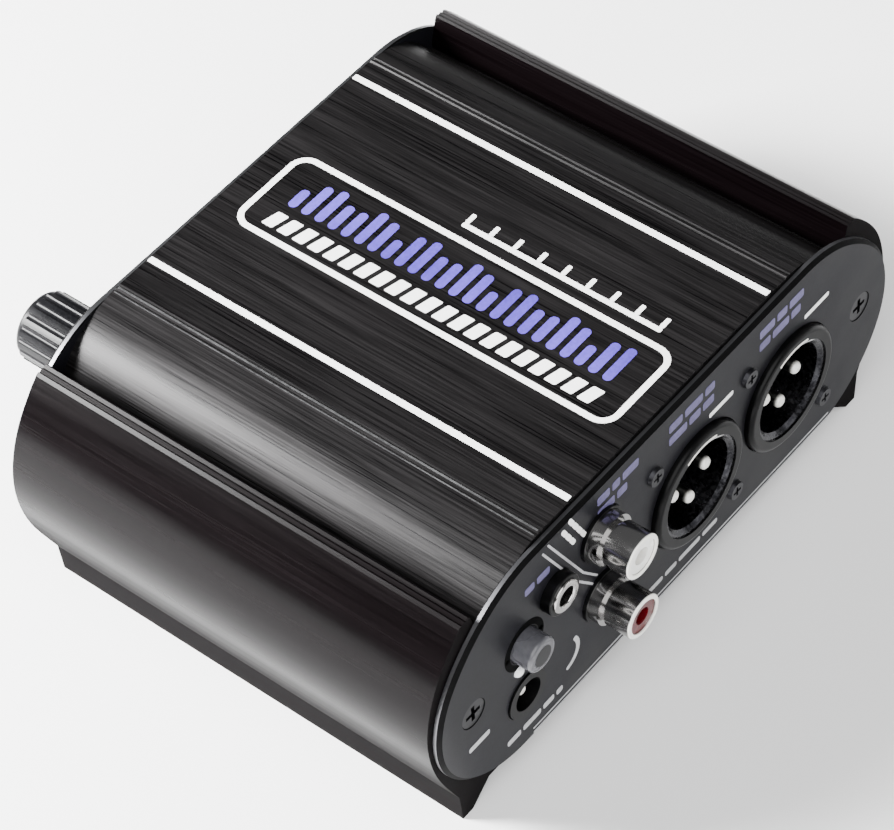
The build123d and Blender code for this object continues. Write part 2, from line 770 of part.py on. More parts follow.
xlr_fixings = [
    facing_front(x + s * XLR_SCREW_DX, -FACE_Y, SOCKET_Z - s * XLR_SCREW_DZ)
    for x in XLR_X for s in (-1, 1)
]
combo_fixings = [
    facing_rear(x + s * COMBO_SCREW_DX, FACE_Y, SOCKET_Z - s * XLR_SCREW_DZ)
    for x in COMBO_X for s in (-1, 1)
]
save(pan_screws(xlr_fixings, 1.9, 0.7, 1.1, 9.0), "xlr_fixing_screws")
save(pan_screws(combo_fixings, 1.9, 0.7, 1.1, 9.0), "combo_fixing_screws")

save(main_board(), "main_board")
save(upright_board(-46.2, -26.4, 23.4, 37.8, -BACK_Y + 9.8, -BACK_Y + 11.4), "jack_board")
save(upright_board(-43.6, -29.0, 12.4, 42.4, BACK_Y - 9.6, BACK_Y - 8.0), "control_board")
save(link_pins(-37.0, -BACK_Y + 11.4, -BACK_Y + 15.4, 24.4), "jack_board_pins")
save(link_pins(-37.0, BACK_Y - 9.6, BACK_Y - 12.6, 14.2, count=6), "control_board_pins")

for side, x in zip(("left", "right"), XLR_X):
    save(xlr_housing(x), f"xlr_housing_{side}")
    save(xlr_cup(x), f"xlr_cup_{side}")
    save(xlr_insert(x), f"xlr_insert_{side}")
    save(xlr_pins(x), f"xlr_pins_{side}")

rca_in = [facing_front(RCA_X, -FACE_Y, z) for z in RCA_Z]
save(rca_housing(rca_in, RCA_X - 5.2, RCA_X + 5.2, 45.0), "phono_in_housing")
save(rca_sleeves(rca_in), "phono_in_sleeves")
save(rca_insulator(rca_in[1]), "phono_in_insulator_white")
save(rca_insulator(rca_in[0]), "phono_in_insulator_red")
save(rca_contacts(rca_in), "phono_in_contacts")

rca_out = [facing_rear(x, FACE_Y, RCA_OUT_Z) for x in RCA_OUT_X]
save(rca_housing(rca_out, RCA_OUT_X[0] - 5.4, RCA_OUT_X[1] + 4.9, 29.0), "phono_out_housing")
save(rca_sleeves(rca_out), "phono_out_sleeves")
save(rca_insulator(rca_out[1]), "phono_out_insulator_white")
save(rca_insulator(rca_out[0]), "phono_out_insulator_red")
save(rca_contacts(rca_out), "phono_out_contacts")

save(mini_jack_body(), "mini_jack_body")
save(mini_jack_ring(), "mini_jack_ring")
save(switch_body(), "switch_body")
save(switch_plunger(), "switch_plunger")
save(button_cap(), "button_cap")
save(status_led(), "status_led")
save(led_leads(), "led_leads")
save(dc_jack_body(), "dc_jack_body")
save(dc_jack_pin(), "dc_jack_pin")
save(dc_jack_spring(), "dc_jack_spring")

for side, x in zip(("left", "right"), COMBO_X):
    save(combo_body(x), f"combo_body_{side}")
    save(combo_contacts(x), f"combo_contacts_{side}")

for level, (x, z) in (("upper", KNOB_UPPER), ("lower", KNOB_LOWER)):
    save(pot_body(x, z), f"pot_body_{level}")
    save(pot_shaft(x, z), f"pot_shaft_{level}")
    save(knob(x, z), f"knob_{level}")
save(pot_washers(), "pot_washers")
save(pot_nuts(), "pot_nuts")

save(op_amps(), "amplifier_chips")
save(electrolytics(), "electrolytic_capacitors")
save(film_caps(), "film_capacitors")
save(regulator(), "voltage_regulator")
save(resistors(), "resistors")
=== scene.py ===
import math

import bmesh
import bpy
from mathutils import Matrix, Vector


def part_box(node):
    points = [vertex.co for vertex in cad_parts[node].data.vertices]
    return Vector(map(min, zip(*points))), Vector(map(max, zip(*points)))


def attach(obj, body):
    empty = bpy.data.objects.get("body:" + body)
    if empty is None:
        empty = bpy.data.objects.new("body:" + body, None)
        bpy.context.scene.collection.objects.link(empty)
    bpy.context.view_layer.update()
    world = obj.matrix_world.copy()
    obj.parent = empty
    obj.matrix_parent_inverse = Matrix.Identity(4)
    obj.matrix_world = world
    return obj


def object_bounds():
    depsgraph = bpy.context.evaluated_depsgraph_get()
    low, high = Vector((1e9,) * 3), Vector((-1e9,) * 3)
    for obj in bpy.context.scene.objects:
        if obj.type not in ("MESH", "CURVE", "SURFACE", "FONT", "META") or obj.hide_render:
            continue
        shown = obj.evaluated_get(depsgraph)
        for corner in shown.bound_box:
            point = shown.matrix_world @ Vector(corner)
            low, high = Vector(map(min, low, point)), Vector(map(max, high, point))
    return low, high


# Two-channel direct injection box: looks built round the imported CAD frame.
# Shapes are in millimetres, turned into metres by MM. Texture densities are cells per
# metre, and the places and sizes of lights and camera are metres.

MM = 0.001

# sockets of Blender's colour mix node
MIX_FACTOR, MIX_A, MIX_B, MIX_RESULT = 0, 6, 7, 2

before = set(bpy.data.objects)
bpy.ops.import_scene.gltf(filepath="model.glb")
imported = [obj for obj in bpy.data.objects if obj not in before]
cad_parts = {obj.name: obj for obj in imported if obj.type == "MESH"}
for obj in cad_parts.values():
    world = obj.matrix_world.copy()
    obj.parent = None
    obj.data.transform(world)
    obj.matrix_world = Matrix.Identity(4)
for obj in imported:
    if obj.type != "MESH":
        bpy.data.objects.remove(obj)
cad_low, cad_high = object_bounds()

BODY = "enclosure"


# ---- reference levels, all read from the frame --------------------------------
def span(node):
    """Lowest and highest corner of a CAD node, in millimetres."""
    low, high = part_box(node)
    return low / MM, high / MM


shell_low, shell_high = span("upper_shell")
TOP_Z = shell_high.z
MID_Y = (shell_low.y + shell_high.y) / 2
HALF_LENGTH = (shell_high.y - shell_low.y) / 2
FRONT_Y = span("connector_panel")[0].y
REAR_Y = span("control_panel")[1].y


def centre_of(node):
    """Middle of a CAD node's box, in millimetres."""
    low, high = span(node)
    return (low + high) / 2


# ---- material helpers ----------------------------------------------------------
def new_material(name, **sockets):
    """Principled material with the given uniform socket values."""
    material = bpy.data.materials.new(name)
    material.use_nodes = True
    shader = material.node_tree.nodes["Principled BSDF"]
    for socket, value in sockets.items():
        shader.inputs[socket.replace("_", " ")].default_value = value
    return material, material.node_tree, shader


def rgb(r, g, b):
    """Colour tuple with full alpha."""
    return (r, g, b, 1.0)


def noise(tree, per_metre, detail=3.0, rough=0.55, seed=0.0):
    """Noise stretched by a different number of cells per metre along X, Y and Z."""
    coords = tree.nodes.new("ShaderNodeTexCoord")
    mapping = tree.nodes.new("ShaderNodeMapping")
    mapping.inputs["Scale"].default_value = per_metre
    mapping.inputs["Location"].default_value = (seed, seed * 1.7, seed * 0.6)
    texture = tree.nodes.new("ShaderNodeTexNoise")
    texture.inputs["Scale"].default_value = 1.0
    texture.inputs["Detail"].default_value = detail
    texture.inputs["Roughness"].default_value = rough
    tree.links.new(coords.outputs["Object"], mapping.inputs["Vector"])
    tree.links.new(mapping.outputs["Vector"], texture.inputs["Vector"])
    return texture.outputs["Fac"]


def remap(tree, value, low, high, out_low, out_high):
    """Value rescaled from one range to another, held inside it."""
    node = tree.nodes.new("ShaderNodeMapRange")
    node.inputs["From Min"].default_value = low
    node.inputs["From Max"].default_value = high
    node.inputs["To Min"].default_value = out_low
    node.inputs["To Max"].default_value = out_high
    tree.links.new(value, node.inputs["Value"])
    return node.outputs["Result"]


def combine(tree, operation, a, b):
    """Two values joined by one maths operation."""
    node = tree.nodes.new("ShaderNodeMath")
    node.operation = operation
    for index, value in enumerate((a, b)):
        if isinstance(value, (int, float)):
            node.inputs[index].default_value = value
        else:
            tree.links.new(value, node.inputs[index])
    return node.outputs[0]


def position(tree, axis, start_mm, end_mm):
    """Factor that runs from 0 to 1 between two places along one axis of the frame."""
    coords = tree.nodes.new("ShaderNodeTexCoord")
    parts = tree.nodes.new("ShaderNodeSeparateXYZ")
    tree.links.new(coords.outputs["Object"], parts.inputs[0])
    return remap(tree, parts.outputs[axis], start_mm * MM, end_mm * MM, 0, 1)


def facing_along_y(tree, low, high):
    """Factor that is 1 where a face looks along Y, either way, and 0 where it looks across."""
    coords = tree.nodes.new("ShaderNodeTexCoord")
    parts = tree.nodes.new("ShaderNodeSeparateXYZ")
    size = tree.nodes.new("ShaderNodeMath")
    size.operation = "ABSOLUTE"
    tree.links.new(coords.outputs["Normal"], parts.inputs[0])
    tree.links.new(parts.outputs["Y"], size.inputs[0])
    return remap(tree, size.outputs[0], low, high, 0, 1)


def weighted(tree, a, b, share_of_a):
    """Two values added with shares that make one."""
    part_a = combine(tree, "MULTIPLY", a, share_of_a)
    part_b = combine(tree, "MULTIPLY", b, 1 - share_of_a)
    return combine(tree, "ADD", part_a, part_b)


def blend_colour(tree, factor, first, second):
    """Colour that goes from the first to the second as the factor goes from 0 to 1."""
    node = tree.nodes.new("ShaderNodeMix")
    node.data_type = "RGBA"
    tree.links.new(factor, node.inputs[MIX_FACTOR])
    for index, colour in ((MIX_A, first), (MIX_B, second)):
        if isinstance(colour, tuple):
            node.inputs[index].default_value = colour
        else:
            tree.links.new(colour, node.inputs[index])
    return node.outputs[MIX_RESULT]


def add_bump(tree, shader, height, strength, distance_mm):
    """Surface relief from a height value."""
    node = tree.nodes.new("ShaderNodeBump")
    node.inputs["Strength"].default_value = strength
    node.inputs["Distance"].default_value = distance_mm * MM
    tree.links.new(height, node.inputs["Height"])
    tree.links.new(node.outputs["Normal"], shader.inputs["Normal"])


def brushed(name, dark, light, roughness, across, along, metallic, relief, shine=0.5):
    """Metal brushed along Y: long streaks in colour, roughness and relief."""
    material, tree, shader = new_material(name, Metallic=metallic, Specular_IOR_Level=shine)
    fine = noise(tree, (across, along, across), detail=4.0, rough=0.7)
    broad = noise(tree, (across * 0.17, along * 0.5, across * 0.17), detail=3.0, seed=7.0)
    mixed = weighted(tree, fine, broad, 0.7)
    colour = blend_colour(tree, remap(tree, mixed, 0.38, 0.66, 0, 1), dark, light)
    tree.links.new(colour, shader.inputs["Base Color"])
    low, high = roughness
    tree.links.new(remap(tree, mixed, 0.38, 0.62, low, high), shader.inputs["Roughness"])
    add_bump(tree, shader, fine, relief, 0.03)
    return material


def speckled(name, dark, light, roughness, cells, relief, distance=0.02, metallic=0.0, shine=0.5):
    """Painted or moulded surface: fine even texture with a slow change of tone."""
    material, tree, shader = new_material(name, Metallic=metallic, Specular_IOR_Level=shine)
    grain = noise(tree, (cells, cells, cells), detail=2.0, rough=0.6)
    slow = noise(tree, (60, 60, 60), detail=4.0, seed=3.0)
    tone = weighted(tree, grain, slow, 0.4)
    colour = blend_colour(tree, remap(tree, tone, 0.35, 0.65, 0, 1), dark, light)
    tree.links.new(colour, shader.inputs["Base Color"])
    low, high = roughness
    tree.links.new(remap(tree, slow, 0.3, 0.7, low, high), shader.inputs["Roughness"])
    add_bump(tree, shader, grain, relief, distance)
    return material


# ---- materials -----------------------------------------------------------------
shell_black = brushed(
    "shell_black",
    dark=rgb(0.0010, 0.0009, 0.0010),
    light=rgb(0.0155, 0.0145, 0.0149),
    roughness=(0.26, 0.40),
    across=3000,
    along=34,
    metallic=0.35,
    relief=0.22,
    shine=0.20,
)


def lower_shell_black():
    """Drawn black profile, satin on the cheeks, dull on its cut ends and towards the foot rails."""
    material, tree, shader = new_material("lower_shell_black", Specular_IOR_Level=0.07)
    fine = noise(tree, (1900, 20, 1900), detail=4.0, rough=0.7)
    broad = noise(tree, (320, 9, 320), detail=3.0, seed=7.0)
    mixed = weighted(tree, fine, broad, 0.5)
    colour = blend_colour(
        tree, remap(tree, mixed, 0.36, 0.66, 0, 1), rgb(0.0006, 0.0003, 0.0004), rgb(0.0024, 0.0015, 0.0018)
    )
    tree.links.new(colour, shader.inputs["Base Color"])
    height = position(tree, "Z", 13.0, 24.0)
    satin = remap(tree, mixed, 0.35, 0.65, 0.20, 0.30)
    low_down = combine(tree, "SUBTRACT", 1.0, height)
    ends_and_foot = combine(tree, "MAXIMUM", low_down, facing_along_y(tree, 0.80, 0.97))
    dull = combine(tree, "MULTIPLY", ends_and_foot, 0.62)
    tree.links.new(combine(tree, "ADD", satin, dull), shader.inputs["Roughness"])
    add_bump(tree, shader, fine, 0.10, 0.03)
    return material


cheek_black = lower_shell_black()


def panel_paint():
    """Fine grey-black powder coat, with dull black bevels and a bare metal rim."""
    material, tree, shader = new_material("panel_coat", Specular_IOR_Level=0.10)
    grain = noise(tree, (2600, 2600, 2600), detail=2.0, rough=0.6)
    slow = noise(tree, (60, 60, 60), detail=4.0, seed=3.0)
    tone = weighted(tree, grain, slow, 0.4)
    coat = blend_colour(
        tree, remap(tree, tone, 0.35, 0.65, 0, 1), rgb(0.0032, 0.0032, 0.0042), rgb(0.0088, 0.0088, 0.0114)
    )
    flat = facing_along_y(tree, 0.80, 0.97)
    rim = combine(tree, "SUBTRACT", 1.0, facing_along_y(tree, 0.15, 0.45))
    edge = blend_colour(tree, rim, rgb(0.0005, 0.0005, 0.0006), rgb(0.16, 0.16, 0.17))
    tree.links.new(blend_colour(tree, flat, edge, coat), shader.inputs["Base Color"])
    tree.links.new(rim, shader.inputs["Metallic"])
    satin = remap(tree, slow, 0.3, 0.7, 0.32, 0.46)
    bevel = combine(tree, "SUBTRACT", combine(tree, "SUBTRACT", 1.0, flat), rim)
    dull = combine(tree, "MULTIPLY", combine(tree, "MAXIMUM", bevel, 0.0), 0.5)
    tree.links.new(combine(tree, "ADD", satin, dull), shader.inputs["Roughness"])
    add_bump(tree, shader, grain, 0.30, 0.02)
    return material


panel_coat = panel_paint()
moulding = speckled(
    "moulding_black",
    rgb(0.0006, 0.0006, 0.0007),
    rgb(0.0018, 0.0018, 0.0020),
    (0.26, 0.40),
    cells=1800,
    relief=0.18,
    shine=0.10,
)
insert_black = speckled(
    "insert_black", rgb(0.001, 0.001, 0.0012), rgb(0.0025, 0.0025, 0.003), (0.5, 0.65), 1800, 0.2
)
screw_black = speckled(
    "screw_black",
    rgb(0.012, 0.012, 0.014),
    rgb(0.034, 0.034, 0.038),
    (0.30, 0.48),
    cells=1500,
    relief=0.25,
    metallic=0.9,
)
nickel = speckled(
    "nickel_plate", rgb(0.36, 0.35, 0.34), rgb(0.56, 0.55, 0.54), (0.10, 0.22), 900, 0.05, metallic=1.0
)
# silver of the power pin, also used for the painted highlight arcs at the top of the XLR noses
silver_and_painted_glint = speckled(
    "silver_and_painted_glint", rgb(0.80, 0.78, 0.72), rgb(0.94, 0.92, 0.86), (0.28, 0.40), 900, 0.05, metallic=0.4
)
brass = speckled(
    "contact_brass", rgb(0.52, 0.38, 0.16), rgb(0.72, 0.56, 0.28), (0.2, 0.35), 900, 0.05, metallic=1.0
)
plain_steel = speckled(
    "steel_plain", rgb(0.38, 0.38, 0.39), rgb(0.56, 0.56, 0.57), (0.25, 0.42), 900, 0.1, metallic=1.0
)
white_plastic = speckled(
    "insulator_white", rgb(0.74, 0.74, 0.71), rgb(0.88, 0.88, 0.86), (0.22, 0.34), 700, 0.05
)
red_plastic = speckled(
    "insulator_red", rgb(0.060, 0.001, 0.003), rgb(0.100, 0.002, 0.005), (0.22, 0.34), 700, 0.05
)
button_grey = speckled(
    "button_grey", rgb(0.040, 0.040, 0.046), rgb(0.075, 0.075, 0.084), (0.20, 0.32), 1200, 0.10
)
stem_white = speckled("stem_white", rgb(0.66, 0.66, 0.63), rgb(0.78, 0.78, 0.75), (0.35, 0.5), 900, 0.1)
lamp_lens = speckled("lamp_lens", rgb(0.80, 0.82, 0.84), rgb(0.95, 0.96, 0.97), (0.10, 0.18), 500, 0.03)
knob_black = speckled(
    "knob_black", rgb(0.003, 0.003, 0.0035), rgb(0.009, 0.009, 0.010), (0.24, 0.36), 1800, 0.22, shine=0.15
)
board_green = speckled(
    "board_green", rgb(0.012, 0.085, 0.038), rgb(0.025, 0.15, 0.07), (0.25, 0.4), 700, 0.15
)
chip_black = speckled("chip_black", rgb(0.012, 0.012, 0.012), rgb(0.03, 0.03, 0.03), (0.45, 0.6), 1500, 0.2)
can_blue = speckled("can_blue", rgb(0.02, 0.035, 0.12), rgb(0.04, 0.06, 0.18), (0.2, 0.35), 500, 0.05)
film_yellow = speckled("film_yellow", rgb(0.48, 0.30, 0.05), rgb(0.62, 0.42, 0.09), (0.3, 0.4), 600, 0.08)
resistor_tan = speckled(
    "resistor_tan", rgb(0.40, 0.28, 0.16), rgb(0.56, 0.42, 0.27), (0.35, 0.5), 600, 0.08
)
# grey for the painted highlights that stand for glints on the groove crests
painted_glint_edge = speckled(
    "painted_glint_edge", rgb(0.030, 0.030, 0.031), rgb(0.110, 0.110, 0.112), (0.26, 0.40), 900, 0.1, metallic=0.4
)
print_white = speckled(
    "print_white", rgb(0.84, 0.84, 0.83), rgb(0.97, 0.97, 0.96), (0.45, 0.60), 1600, 0.25
)
print_lilac = speckled(
    "print_lilac", rgb(0.045, 0.025, 0.255), rgb(0.086, 0.052, 0.41), (0.45, 0.60), 1600, 0.25
)
print_soft = speckled(
    "print_soft", rgb(0.045, 0.038, 0.10), rgb(0.10, 0.088, 0.20), (0.45, 0.60), 1600, 0.25
)
# grey for printing, also used for the painted highlight lines along the panel's foot
grey_print_and_painted_highlight = speckled("grey_print_and_painted_highlight", rgb(0.26, 0.26, 0.27), rgb(0.42, 0.42, 0.43), (0.45, 0.60), 1600, 0.25)


def with_painted_tip_highlight(name, node, depth, body_colour, body_rough):
    """Plated contact with a painted highlight at its open end: satin white there, darker and shinier along
    its length.
    """
    material, tree, shader = new_material(name, Metallic=1.0)
    tip_y = span(node)[0].y
    stem = position(tree, "Y", tip_y + depth * 0.3, tip_y + depth)
    haze = noise(tree, (900, 300, 900), detail=3.0)
    tone = combine(tree, "MAXIMUM", stem, combine(tree, "MULTIPLY", haze, 0.15))
    # painted highlight: near white and barely metallic at the open end
    colour = blend_colour(tree, tone, rgb(0.97, 0.96, 0.90), body_colour)
    tree.links.new(colour, shader.inputs["Base Color"])
    tree.links.new(remap(tree, stem, 0, 1, 0.1, 1.0), shader.inputs["Metallic"])
    low, high = body_rough
    tree.links.new(remap(tree, haze, 0.3, 0.7, low, high), shader.inputs["Roughness"])
    add_bump(tree, shader, haze, 0.05, 0.02)
    return material


def cup_plate():
    """Blackened cup with a painted highlight on its upper rim, bright as the highlight in the photograph
    is.
    """
    material, tree, shader = new_material("cup_metal", Metallic=1.0)
    haze = noise(tree, (1400, 1400, 1400), detail=2.0)
    middle = centre_of("xlr_cup_left").z
    # painted highlight: near white and barely metallic over the top of the rim
    painted_rim_highlight = position(tree, "Z", middle + 6.8, middle + 8.4)
    tone = blend_colour(
        tree, remap(tree, haze, 0.35, 0.65, 0, 1), rgb(0.018, 0.018, 0.021), rgb(0.050, 0.050, 0.055)
    )
    cup_colour_with_highlight = blend_colour(tree, painted_rim_highlight, tone, rgb(0.95, 0.95, 0.93))
    tree.links.new(cup_colour_with_highlight, shader.inputs["Base Color"])
    tree.links.new(remap(tree, painted_rim_highlight, 0, 1, 1.0, 0.15), shader.inputs["Metallic"])
    tree.links.new(remap(tree, haze, 0.3, 0.7, 0.20, 0.34), shader.inputs["Roughness"])
    add_bump(tree, shader, haze, 0.12, 0.02)
    return material


cup_metal = cup_plate()
pin_silver = with_painted_tip_highlight("pin_silver", "xlr_pins_left", 1.2, rgb(0.07, 0.07, 0.065), (0.26, 0.40))
sleeve_plate = with_painted_tip_highlight("sleeve_plate", "phono_in_sleeves", 0.35, rgb(0.34, 0.335, 0.33), (0.10, 0.22))
# near black for the painted shadow round the push button
painted_shadow_black = speckled(
    "painted_shadow_black",
    rgb(0.0002, 0.0002, 0.0002),
    rgb(0.0006, 0.0006, 0.0007),
    (0.8, 0.95),
    cells=1500,
    relief=0.2,
    shine=0.05,
)

FINISH = {
    "lower_shell": cheek_black,
    "upper_shell": shell_black,
    "connector_panel": panel_coat,
    "control_panel": panel_coat,
    "connector_panel_screws": screw_black,
    "control_panel_screws": screw_black,
    "xlr_fixing_screws": screw_black,
    "combo_fixing_screws": screw_black,
    "main_board": board_green,
    "jack_board": board_green,
    "control_board": board_green,
    "jack_board_pins": plain_steel,
    "control_board_pins": plain_steel,
    "led_leads": plain_steel,
    "phono_in_housing": moulding,
    "phono_out_housing": moulding,
    "phono_in_sleeves": sleeve_plate,
    "phono_out_sleeves": nickel,
    "phono_in_insulator_white": white_plastic,
    "phono_out_insulator_white": white_plastic,
    "phono_in_insulator_red": red_plastic,
    "phono_out_insulator_red": red_plastic,
    "phono_in_contacts": brass,
    "phono_out_contacts": brass,
    "mini_jack_body": moulding,
    "mini_jack_ring": nickel,
    "switch_body": moulding,
    "switch_plunger": stem_white,
    "button_cap": button_grey,
    "status_led": lamp_lens,
    "dc_jack_body": moulding,
    "dc_jack_pin": silver_and_painted_glint,
    "dc_jack_spring": brass,
    "pot_washers": plain_steel,
    "pot_nuts": plain_steel,
    "amplifier_chips": chip_black,
    "voltage_regulator": chip_black,
    "electrolytic_capacitors": can_blue,
    "film_capacitors": film_yellow,
    "resistors": resistor_tan,
}
for side in ("left", "right"):
    FINISH[f"xlr_housing_{side}"] = moulding
    FINISH[f"xlr_cup_{side}"] = cup_metal
    FINISH[f"xlr_insert_{side}"] = insert_black
    FINISH[f"xlr_pins_{side}"] = pin_silver
    FINISH[f"combo_body_{side}"] = moulding
    FINISH[f"combo_contacts_{side}"] = brass
for level in ("upper", "lower"):
    FINISH[f"pot_body_{level}"] = plain_steel
    FINISH[f"pot_shaft_{level}"] = plain_steel
    FINISH[f"knob_{level}"] = knob_black

for node, material in FINISH.items():
    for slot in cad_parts[node].material_slots:
        slot.material = material


# ---- flat shapes, as closed outlines in millimetres -----------------------------
def rounded_bar(u, v, width, height, radius, slant=0.0, steps=4):
    """Bar centred on (u, v) with round corners, its top pushed sideways by slant."""
    radius = min(radius, width / 2 - 0.01, height / 2 - 0.01)
    points = []
    for corner, (su, sv) in enumerate(((1, 1), (-1, 1), (-1, -1), (1, -1))):
        centre_u = su * (width / 2 - radius)
        centre_v = sv * (height / 2 - radius)
        for step in range(steps + 1):
            angle = math.radians(90 * (corner + step / steps))
            pu = centre_u + radius * math.cos(angle)
            pv = centre_v + radius * math.sin(angle)
            points.append((u + pu + slant * pv / height, v + pv))
    return points


def disc(u, v, radius, steps=40):
    """Round dot."""
    turns = [2 * math.pi * i / steps for i in range(steps)]
    return [(u + radius * math.cos(t), v + radius * math.sin(t)) for t in turns]


def arc(u, v, radius, start, end, steps=16):
    """Open run of points along an arc, angles in degrees."""
    angles = [math.radians(start + (end - start) * i / steps) for i in range(steps + 1)]
    return [(u + radius * math.cos(a), v + radius * math.sin(a)) for a in angles]


def ribbon(path, width, cap_steps=6):
    """Closed outline of a line of constant width; its ends are round, or square with cap_steps 1."""
    points = [Vector(p) for p in path]
    left, right = [], []
    for index, point in enumerate(points):
        before = points[max(index - 1, 0)]
        after = points[min(index + 1, len(points) - 1)]
        along = (after - before).normalized()
        normal = Vector((-along.y, along.x)) * width / 2
        left.append(point + normal)
        right.append(point - normal)

    def cap(point, start):
        turn = math.atan2(start.y - point.y, start.x - point.x)
        sweep = [turn - math.pi * i / cap_steps for i in range(1, cap_steps)]
        return [point + Vector((math.cos(a), math.sin(a))) * width / 2 for a in sweep]

    outline = left + cap(points[-1], left[-1]) + right[::-1] + cap(points[0], right[0])
    return [(p.x, p.y) for p in outline]


# ---- placing flat prints and painted light on the object -------------------------
def on_top(u, v, height):
    """Point on the flat top: u runs towards the connector panel, v across to +X."""
    return Vector((v, MID_Y - u, TOP_Z + height)) * MM


def on_front(u, v, height):
    """Point on the connector panel: u is X, v is Z."""
    return Vector((u, FRONT_Y - height, v)) * MM


def on_rear(u, v, height):
    """Point on the control panel seen from behind: u is X, v is Z."""
    return Vector((u, REAR_Y + height, v)) * MM


def lay_thin_layer(name, shapes, place, material, body=BODY, thickness=0.04):
    """Thin raised layer made of closed outlines, lying on one face; it carries ink, and also painted
    highlights and painted shadow.
    """
    mesh = bmesh.new()
    for shape in shapes:
        base = [mesh.verts.new(place(u, v, -0.01)) for u, v in shape]
        face_up = [mesh.verts.new(place(u, v, thickness)) for u, v in shape]
        mesh.faces.new(face_up)
        mesh.faces.new(base[::-1])
        for i in range(len(shape)):
            j = (i + 1) % len(shape)
            mesh.faces.new((base[i], base[j], face_up[j], face_up[i]))
    bmesh.ops.recalc_face_normals(mesh, faces=mesh.faces)
    data = bpy.data.meshes.new(name)
    mesh.to_mesh(data)
    mesh.free()
    piece = bpy.data.objects.new(name, data)
    bpy.context.scene.collection.objects.link(piece)
    data.materials.append(material)
    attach(piece, body)


# ---- artwork and painted glints on the top -----------------------------------------
STRIPES = (("left", -25.3), ("right", 28.2))
STRIPE_WIDTH, STRIPE_END_GAP = 1.22, 0.2
for side, x in STRIPES:
    stripe = rounded_bar(0, x, 2 * (HALF_LENGTH - STRIPE_END_GAP), STRIPE_WIDTH, 0.1)
    lay_thin_layer(f"top_stripe_{side}", [stripe], on_top, print_white)

# pale crests, painted highlights that stand for the glints beside the left shoulder's grooves, the outer
# one lower
INNER_CREST_X, OUTER_CREST_X = -33.2, -34.25
OUTER_CREST_DROP = 0.11
INNER_CREST_WIDTH, OUTER_CREST_WIDTH = 0.34, 0.22


def on_outer_crest(u, v, height):
    """Point on the outer crest, where the shell has begun to curve down."""
    return on_top(u, v, height - OUTER_CREST_DROP)


CREST_LENGTH = 2 * HALF_LENGTH - 0.6
inner_crest = rounded_bar(0, INNER_CREST_X, CREST_LENGTH, INNER_CREST_WIDTH, 0.1)
outer_crest = rounded_bar(0, OUTER_CREST_X, CREST_LENGTH, OUTER_CREST_WIDTH, 0.1)
lay_thin_layer("groove_crest_inner", [inner_crest], on_top, painted_glint_edge)
lay_thin_layer("groove_crest_outer", [outer_crest], on_outer_crest, painted_glint_edge)

# plain closed frame with round corners, drawn as two C-shaped halves
FRAME_MIDDLE_U, FRAME_MIDDLE_V = 0.5, -0.9
FRAME_HALF_U, FRAME_HALF_V, FRAME_CORNER = 39.0, 9.1, 3.0
FRAME_LINE = 1.15


def frame_half(side):
    """Centre line of one half of the frame; side is -1 or 1."""
    corner_u = FRAME_MIDDLE_U + side * (FRAME_HALF_U - FRAME_CORNER)
    corner_v = FRAME_HALF_V - FRAME_CORNER
    outward = 0 if side > 0 else 180
    return (
        [(FRAME_MIDDLE_U, FRAME_MIDDLE_V + FRAME_HALF_V)]
        + arc(corner_u, FRAME_MIDDLE_V + corner_v, FRAME_CORNER, 90, outward, 8)
        + arc(corner_u, FRAME_MIDDLE_V - corner_v, FRAME_CORNER, outward, 90 + side * -180, 8)
        + [(FRAME_MIDDLE_U, FRAME_MIDDLE_V - FRAME_HALF_V)]
    )


# square ends, so that the halves meet without lying over each other
frame_halves = [ribbon(frame_half(side), FRAME_LINE, cap_steps=1) for side in (-1, 1)]
lay_thin_layer("top_frame_line", frame_halves, on_top, print_white)

# level-meter motif: evenly spaced upright bars whose heights follow one wave
BAR_COUNT, BAR_STEP, BAR_WIDTH = 24, 2.86, 1.75
BAR_LOW, BAR_SWING, BAR_WAVE = 4.6, 3.6, 0.9
BASE_LINE = -2.4
bars = []
for index in range(BAR_COUNT):
    u = FRAME_MIDDLE_U + (index - (BAR_COUNT - 1) / 2) * BAR_STEP
    height = BAR_LOW + BAR_SWING * abs(math.sin(BAR_WAVE * index))
    bars.append(rounded_bar(u, BASE_LINE + height / 2, BAR_WIDTH, height, 0.8))
lay_thin_layer("top_meter_bars", bars, on_top, print_lilac)

# one even row of equal leaning blocks under the bars
BLOCK_COUNT, BLOCK_STEP = 21, 3.3
BLOCK_V, BLOCK_WIDTH, BLOCK_HEIGHT, BLOCK_LEAN = -6.2, 2.3, 3.6, 0.9
blocks = []
for index in range(BLOCK_COUNT):
    u = FRAME_MIDDLE_U + (index - (BLOCK_COUNT - 1) / 2) * BLOCK_STEP
    blocks.append(rounded_bar(u, BLOCK_V, BLOCK_WIDTH, BLOCK_HEIGHT, 0.3, slant=BLOCK_LEAN))
lay_thin_layer("top_block_row", blocks, on_top, print_white)

# plain ruler above the frame: one line with equal ticks all along it
SCALE_MIDDLE_U, SCALE_V, SCALE_LENGTH = 14.0, 11.4, 41.0
TICK_COUNT, TICK_STEP, TICK_HEIGHT = 9, 5.0, 2.4
scale = [rounded_bar(SCALE_MIDDLE_U, SCALE_V, SCALE_LENGTH, 1.0, 0.4)]
for index in range(TICK_COUNT):
    u = SCALE_MIDDLE_U + (index - (TICK_COUNT - 1) / 2) * TICK_STEP
    scale.append(rounded_bar(u, SCALE_V + 1.7, 0.9, TICK_HEIGHT, 0.3))
lay_thin_layer("top_scale_line", scale, on_top, print_white)


